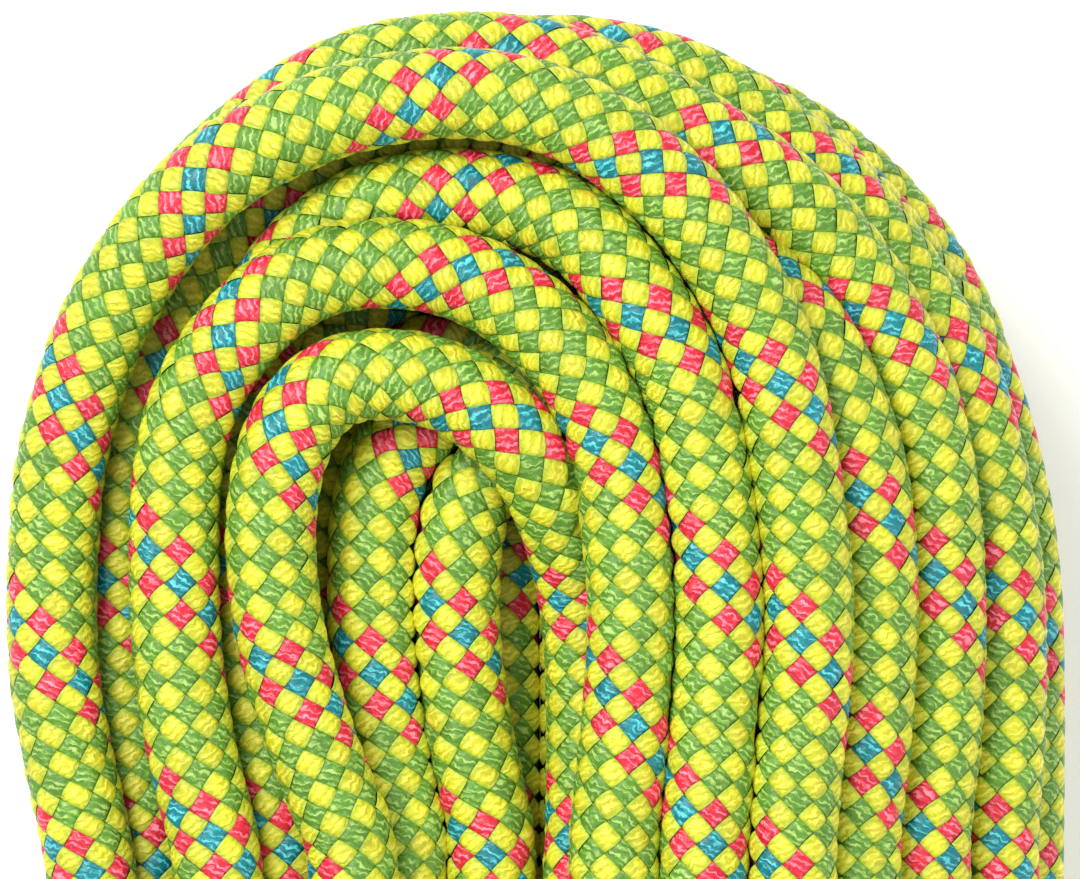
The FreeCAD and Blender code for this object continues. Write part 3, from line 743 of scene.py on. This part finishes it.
def mottled_material(name, colour, second, grain, roughness, relief):
    """Two colours in soft spots, with grain and relief in millimetres."""
    material, tree, shader = new_material(name)
    places = add_node(tree, "ShaderNodeTexCoord")
    spots = add_node(tree, "ShaderNodeTexNoise", values=[("Scale", 1 / (grain * MM)), ("Detail", 4.0)],
                     links=[("Vector", places.outputs["Object"])]).outputs["Fac"]
    contrast = add_node(tree, "ShaderNodeMapRange", [],
                        [("From Min", 0.35), ("From Max", 0.65), ("To Min", 0.0), ("To Max", 1.0)],
                        [("Value", spots)]).outputs[0]
    mixed = add_node(tree, "ShaderNodeMix", [("data_type", "RGBA")],
                     [(6, to_linear(colour)), (7, to_linear(second))], [(0, contrast)])
    tree.links.new(mixed.outputs[2], shader.inputs["Base Color"])
    shader.inputs["Roughness"].default_value = roughness
    bump = add_node(tree, "ShaderNodeBump", values=[("Strength", 1.0), ("Distance", relief * MM)],
                    links=[("Height", spots)])
    tree.links.new(bump.outputs[0], shader.inputs["Normal"])
    return material


def plain_material(name, colour, roughness):
    """A material of one colour."""
    material, tree, shader = new_material(name)
    shader.inputs["Base Color"].default_value = to_linear(colour)
    shader.inputs["Roughness"].default_value = roughness
    return material


# %% The materials
# Each yarn gets a rim colour that is painted shade (the yellow's lime one is also a painted reflection of the
# green), its own body colour, and a highlight colour painted onto the plies.
yellow_yarn = yarn_material("nylon_yarn_yellow", "#a3bf2a", "#d6d322", "#f4ea5c", 0.5, 0.4)
green_yarn = yarn_material("nylon_yarn_green", "#598a20", "#5d9126", "#b0d26a", 0.46)
pink_yarn = yarn_material("nylon_yarn_pink", "#c01428", "#e01c36", "#ff8fa4", 0.42)
teal_yarn = yarn_material("nylon_yarn_teal", "#00646c", "#007c84", "#62dae2", 0.42)
# The bed stands for the hidden undersides of the yarns; its dull olive, darker than the yarns, is painted
# shade for the thin creases.
bed_material = plain_material("sheath_shadow_side", "#5a6a18", 0.9)
print("materials:", [m.name for m in bpy.data.materials if "yarn" in m.name])

# %% Make the bed
bed = mesh_object("rope_bed", bed_corners, bed_faces, [bed_material])
bed.data.polygons.foreach_set("use_smooth", np.ones(len(bed_faces), dtype=bool))
print("bed triangles:", 2 * len(bed_faces))

# %% [markdown]
# ## The braid
#
# The braid is a lattice of small diamonds.  Two families of yarns run slantwise round the rope, one each way,
# and on every diamond one of them lies on top.  In even half rows it is the yellow family, in odd half rows
# the green one with its tracers.  Each float is a small patch, high in its middle and low at its rim, where
# its neighbours pass over it.
#
# Most of the rope lies inside the pile, where nobody sees it.  Rays from each float find out whether it can
# be seen, and only then is its patch finely divided.

# %% The lattice of floats
half_rows = np.repeat(np.arange(2 * ROWS - 4), YARNS_EACH_WAY)
places_round = np.tile(np.arange(YARNS_EACH_WAY), 2 * ROWS - 4)
offset = 2 * places_round + half_rows % 2
float_u = offset / (2 * YARNS_EACH_WAY)
float_v = half_rows / 2
is_second_hand = half_rows % 2 == 1
yarn_number = ((half_rows - offset) // 2) % YARN_REPEAT
GREEN, PINK, TEAL = 1, 2, 3
slot_of_yarn = np.array([PINK, TEAL, PINK] + [GREEN] * 5)
float_slot = np.where(is_second_hand, slot_of_yarn[yarn_number], 0)
print("floats:", len(float_u))


# The rope's own weight in the pile presses it a little flat, so it is wider than it is high.
PRESSED = np.array([1.05, 1.05, 0.97])


def on_rope(u, v, radius):
    """Places on the rope: u goes once round it, v counts rows along it."""
    at = np.clip(v * FRAMES_PER_ROW, 0, len(centres) - 1.001)
    low = at.astype(int)
    part = (at - low)[..., None]
    angle = 2 * math.pi * u[..., None]
    centre = centres[low] * (1 - part) + centres[low + 1] * part
    way_a = out_a[low] * (1 - part) + out_a[low + 1] * part
    way_b = out_b[low] * (1 - part) + out_b[low + 1] * part
    return centre + radius[..., None] * (np.cos(angle) * way_a + np.sin(angle) * way_b) * PRESSED


# %% Which floats can be seen
from mathutils.bvhtree import BVHTree

SEEN_RADIUS = 4.75 * MM
CLEAR = 0.35 * MM
middles = on_rope(float_u, float_v + 0.5, np.full(len(float_u), SEEN_RADIUS + CLEAR))
roots = on_rope(float_u, float_v + 0.5, np.zeros(len(float_u)))
outward = middles - roots
outward /= np.linalg.norm(outward, axis=1)[:, None]
thick_corners = (centres[ring_frames][:, None, :] + SEEN_RADIUS * (spoke_a + spoke_b)).reshape(-1, 3)
tree_of_rope = BVHTree.FromPolygons(thick_corners.tolist(), bed_faces.tolist())

# A float looks out along its own normal and along normals tilted to the sky, to the tip and to the sides.
LOOKS = np.array([(0, 0, 0), (0, 0, 1.2), (0.9, 0, 0.3), (-0.9, 0, 0.3), (0, 0.9, 0.3), (0, -0.9, 0.3)])
seen = np.zeros(len(float_u), dtype=bool)
from_above = np.zeros(len(float_u), dtype=bool)
up_ray = Vector((0.0, 0.0, 1.0))
for number in range(len(float_u)):
    start = Vector(middles[number])
    if tree_of_rope.ray_cast(start, up_ray, 0.2)[0] is None:
        from_above[number] = outward[number, 2] > -0.1
        seen[number] = True
        continue
    for look in LOOKS:
        way = Vector(outward[number] + look)
        if tree_of_rope.ray_cast(start, way, 0.7)[0] is None:
            seen[number] = True
            break
print("seen:", int(seen.sum()), "from above:", int(from_above.sum()))

# %% How finely each float is divided
CLOSE_UP = 110 * MM
near_tip = roots[:, 1] > TIP_Y - CLOSE_UP
divisions = np.ones(len(float_u), dtype=int)
divisions[seen] = 2
divisions[seen & near_tip] = 3
divisions[from_above] = 3
divisions[from_above & near_tip] = 6
for size in (1, 2, 3, 6):
    print("divided", size, ":", int((divisions == size).sum()))

# %% Weave the floats
LINES = {
    1: np.array([-1.0, 1.0]),
    2: np.array([-1.0, 0.0, 1.0]),
    3: np.array([-1.0, -0.5, 0.5, 1.0]),
    6: np.array([-1.0, -0.84, -0.5, 0.0, 0.5, 0.84, 1.0]),
}
FLOAT_RADIUS = 4.6 * MM
CREST = 0.28 * MM
YELLOW_RISE = 0.06 * MM
YELLOW_ROUNDING = 0.07
YELLOW_WIDTH = 1.07
OTHER_WIDTH = 1.025
rng = np.random.default_rng(8)
float_shade = rng.random(len(float_u))
float_lift = rng.normal(0.0, 0.03 * MM, len(float_u))


def float_height(along, across, yellow):
    """Height of a float over the rope's body: round across, and diving at its two ends."""
    dive = 0.11 * along ** 2 + 0.18 * along ** 8
    shoulder = 0.06 * across ** 2 + 0.11 * across ** 8
    return CREST + np.where(yellow, YELLOW_RISE, 0.0) - (dive + shoulder) * MM


def weave(chosen, size):
    """Corners, faces, yarn places, slots and shades of the chosen floats, all divided alike."""
    lines = LINES[size]
    across, along = np.meshgrid(lines, lines, indexing="ij")
    along = along.ravel()[None, :]
    across = across.ravel()[None, :]
    second = is_second_hand[chosen][:, None]
    yellow = float_slot[chosen][:, None] == 0
    # A yellow float is wider than its diamond, has round corners, and lies over the ends of the green ones.
    round_off = 1 - np.where(yellow, YELLOW_ROUNDING, 0.0) * (along * across) ** 2
    wide = np.where(yellow, YELLOW_WIDTH, OTHER_WIDTH)
    place_along = along * round_off
    place_across = across * round_off * wide
    first_way = (np.where(second, place_along, place_across) + 1) / 2
    second_way = (np.where(second, place_across, place_along) + 1) / 2
    u = float_u[chosen][:, None] + (first_way - second_way) / (2 * YARNS_EACH_WAY)
    v = float_v[chosen][:, None] + (first_way + second_way) / 2
    radius = FLOAT_RADIUS + float_height(along, across, yellow) + float_lift[chosen][:, None]
    corners = on_rope(u, v, radius)
    side = size + 1
    grid = np.arange(side * side).reshape(side, side)
    quad = np.stack([grid[:-1, :-1], grid[:-1, 1:], grid[1:, 1:], grid[1:, :-1]], axis=-1).reshape(-1, 4)
    faces = quad[None, :, :] + (np.arange(len(chosen)) * side * side)[:, None, None]
    # The two hands wind opposite ways, so one of them needs its faces turned over.
    flipped = faces[:, :, ::-1]
    faces = np.where(second[:, :, None], flipped, faces)
    yarn_u = np.broadcast_to((along + 1) / 2, (len(chosen), side * side))
    yarn_v = np.broadcast_to((across + 1) / 2, (len(chosen), side * side))
    yarn_uv = np.stack([yarn_u, yarn_v], axis=-1)
    slots = np.repeat(float_slot[chosen], size * size)
    shades = np.repeat(float_shade[chosen], side * side)
    return corners.reshape(-1, 3), faces.reshape(-1, 4), yarn_uv.reshape(-1, 2), slots, shades, (u, v)


def bake_places(u, v, first_row, rows, strips):
    """Places in the bake map: the sheath laid out flat, cut into strips side by side."""
    row = v.mean(axis=1, keepdims=True) - first_row
    strip = np.clip(np.floor(row / rows * strips), 0, strips - 1)
    within = (v - first_row) - strip * rows / strips
    x = (strip + 0.02 + 0.96 * (u + 0.06) / 1.13) / strips
    y = 0.005 + 0.99 * (within + 1.0) / (rows / strips + 2.0)
    return np.stack([np.clip(x, 0, 1), np.clip(y, 0, 1)], axis=-1).reshape(-1, 2)


def sheath_piece(name, first, last):
    """One length of the braided sheath, of the floats from first to last."""
    parts = []
    corner_count = 0
    first_row = float_v[first]
    rows = float_v[last - 1] + 1 - first_row
    strips = max(1, round(math.sqrt(rows * ROW / (2 * math.pi * RADIUS))))
    for size in sorted(LINES):
        chosen = first + np.flatnonzero(divisions[first:last] == size)
        if len(chosen) == 0:
            continue
        corners, faces, yarn_uv, slots, shades, (u, v) = weave(chosen, size)
        parts.append((corners, faces + corner_count, yarn_uv, slots, shades,
                      bake_places(u, v, first_row, rows, strips)))
        corner_count += len(corners)
    corners, faces, yarn_uv, slots, shades, bake_uv = [np.concatenate(group) for group in zip(*parts)]
    piece = mesh_object(name, corners, faces, [yellow_yarn, green_yarn, pink_yarn, teal_yarn])
    mesh = piece.data
    mesh.polygons.foreach_set("material_index", slots.astype(np.int32))
    mesh.polygons.foreach_set("use_smooth", np.ones(len(faces), dtype=bool))
    for map_name, places in (("Yarn", yarn_uv), ("OFBake", bake_uv)):
        layer = mesh.uv_layers.new(name=map_name)
        layer.data.foreach_set("uv", places[faces.ravel()].astype(np.float32).ravel())
    attribute = mesh.attributes.new("shade", "FLOAT", "POINT")
    attribute.data.foreach_set("value", shades.astype(np.float32))
    mesh.update()
    return piece


# %% Cut the sheath into lengths and make them
MOST_TRIANGLES = 110000
triangles_so_far = np.cumsum(2 * divisions ** 2)
pieces = []
first = 0
while first < len(float_u):
    limit = (triangles_so_far[first - 1] if first else 0) + MOST_TRIANGLES
    last = int(np.searchsorted(triangles_so_far, limit))
    last = min(len(float_u), max(YARNS_EACH_WAY * 2, last // (2 * YARNS_EACH_WAY) * 2 * YARNS_EACH_WAY))
    pieces.append(sheath_piece("sheath_length_%02d" % (len(pieces) + 1), first, last))
    first = last
print("sheath lengths:", len(pieces), "triangles:", int(triangles_so_far[-1]))

# %% [markdown]
# ## What lies inside the two ends
#
# Inside the braid a climbing rope has a core of white nylon strands and one flat marker tape.  They are made
# for the two loose ends only.  Each is drawn along the same frame as the braid, so it stays inside it round
# every bend.  The section is a ring of corners for a strand and a thin oblong for the tape.

# %% Draw a section along one end


def drawn_along(name, frames, section, material):
    """A closed solid: a section, given as places to the side and up, carried along the frames."""
    count = len(section)
    offsets = np.array(section)
    corners = (centres[frames][:, None, :] + offsets[None, :, :1] * sides[frames][:, None, :]
               + offsets[None, :, 1:] * ups[frames][:, None, :]).reshape(-1, 3)
    ring = np.arange(len(frames) - 1)[:, None] * count
    corner = np.arange(count)[None, :]
    following = (corner + 1) % count
    wall = np.stack([ring + corner, ring + count + corner, ring + count + following, ring + following],
                    axis=-1).reshape(-1, 4)
    half = np.arange(count // 2 - 1)
    cap = np.stack([half, half + 1, count - 2 - half, count - 1 - half], axis=-1)
    last = (len(frames) - 1) * count
    made = mesh_object(name, corners, np.concatenate([wall, cap, cap[:, ::-1] + last]), [material])
    bpy.ops.object.select_all(action="DESELECT")
    bpy.context.view_layer.objects.active = made
    made.select_set(True)
    bpy.ops.object.mode_set(mode="EDIT")
    bpy.ops.mesh.select_all(action="SELECT")
    bpy.ops.mesh.normals_make_consistent(inside=False)
    bpy.ops.object.mode_set(mode="OBJECT")
    return made


# %% Materials inside the ends
# Nylon strands are dull white and uneven.  The tape is a cast film, smooth and a little glossy.
core_material = mottled_material("nylon_core_white", "#f4f3ec", "#d9d6c8", 0.6, 0.5, 0.10)
tape_material = mottled_material("marker_tape_film", "#e3e6ea", "#c3c8d0", 1.5, 0.25, 0.02)

# %% Core strands and marker tapes
TIP_LENGTH = 2.5 * MM
CORE_STRANDS = 12
INNER_STRANDS = 3
STRAND_RADIUS = 0.94 * MM
INNER_RING = 1.09 * MM
OUTER_RING = 2.9 * MM
STRAND_CORNERS = 10
RING_EVERY = 2
TAPE_RING = 3.645 * MM
TAPE_THICKNESS = 0.15 * MM
TAPE_WIDTH = 0.9 * MM


def strand_section(number):
    """Corners of one strand: three strands in the middle, nine round them."""
    if number < INNER_STRANDS:
        ring, angle = INNER_RING, 2 * math.pi * number / INNER_STRANDS
    else:
        place = (number - INNER_STRANDS) / (CORE_STRANDS - INNER_STRANDS)
        ring, angle = OUTER_RING, math.radians(20) + 2 * math.pi * place
    turns = 2 * math.pi * np.arange(STRAND_CORNERS) / STRAND_CORNERS
    return [(ring * math.cos(angle) + STRAND_RADIUS * math.cos(turn),
             ring * math.sin(angle) + STRAND_RADIUS * math.sin(turn)) for turn in turns]


def end_frames(place):
    """Frames of the loose end that starts at a place of the route, as far as its fused tip."""
    start = int(np.argmin(np.linalg.norm(centres - np.array(place), axis=1)))
    tip = int(TIP_LENGTH / ROW * FRAMES_PER_ROW) + 1
    last = len(centres) - 1
    if start < last / 2:
        return np.arange(tip, start, RING_EVERY)
    return np.arange(start, last - tip, RING_EVERY)


inner_pieces = []
tape_section = [(TAPE_RING, -TAPE_WIDTH / 2), (TAPE_RING + TAPE_THICKNESS, -TAPE_WIDTH / 2),
                (TAPE_RING + TAPE_THICKNESS, TAPE_WIDTH / 2), (TAPE_RING, TAPE_WIDTH / 2)]
for end_name, place in (("lower_end", LOWER_END[-1]), ("upper_end", UPPER_END[0])):
    frames = end_frames(place)
    for number in range(CORE_STRANDS):
        strand = drawn_along("%s_core_yarn_%02d" % (end_name, number + 1), frames, strand_section(number),
                             core_material)
        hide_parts("%s_core_strand_%02d" % (end_name, number + 1))
        inner_pieces.append(strand)
    tape = drawn_along(end_name + "_tape_strip", frames, tape_section, tape_material)
    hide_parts(end_name + "_marker_tape")
    inner_pieces.append(tape)
    print(end_name, "loose for", round(len(frames) * RING_EVERY * ROW / FRAMES_PER_ROW / MM), "mm")
for piece in inner_pieces:
    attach(piece, "root")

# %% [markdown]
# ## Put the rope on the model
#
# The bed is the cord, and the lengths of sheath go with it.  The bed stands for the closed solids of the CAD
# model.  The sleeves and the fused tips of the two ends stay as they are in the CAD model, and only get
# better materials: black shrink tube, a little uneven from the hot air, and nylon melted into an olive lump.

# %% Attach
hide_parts("wound_hank", "waist_wraps", "lower_end_sheath", "upper_end_sheath")
for piece in [bed] + pieces:
    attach(piece, "root")

# %% Materials of the two ends
sleeve_material = mottled_material("shrink_sleeve_black", "#131517", "#232629", 2.2, 0.38, 0.06)
tip_material = mottled_material("melted_nylon", "#a9a03a", "#4c5a1e", 1.6, 0.3, 0.25)
for node in bpy.data.objects:
    for word, material in (("_sleeve", sleeve_material), ("fused_tip", tip_material)):
        if node.type == "MESH" and word in node.name:
            node.data.materials.clear()
            node.data.materials.append(material)

# %% [markdown]
# ## Floor
#
# A pale plain floor under the hank, which is not part of the object.  It glows a little, as a lit table does,
# so that it stays white in the hank's soft shadow too.

# %% Floor
bpy.ops.object.select_all(action="DESELECT")
bpy.ops.mesh.primitive_plane_add(size=6.0, location=(0.0, 0.0, 0.0))
floor = bpy.context.active_object
floor.name = "floor"
floor_material = plain_material("pale_floor", "#f7f7f7", 0.9)
floor_shader = floor_material.node_tree.nodes["Principled BSDF"]
floor_shader.inputs["Emission Color"].default_value = (1.0, 1.0, 1.0, 1.0)
floor_shader.inputs["Emission Strength"].default_value = 0.14
floor.data.materials.append(floor_material)
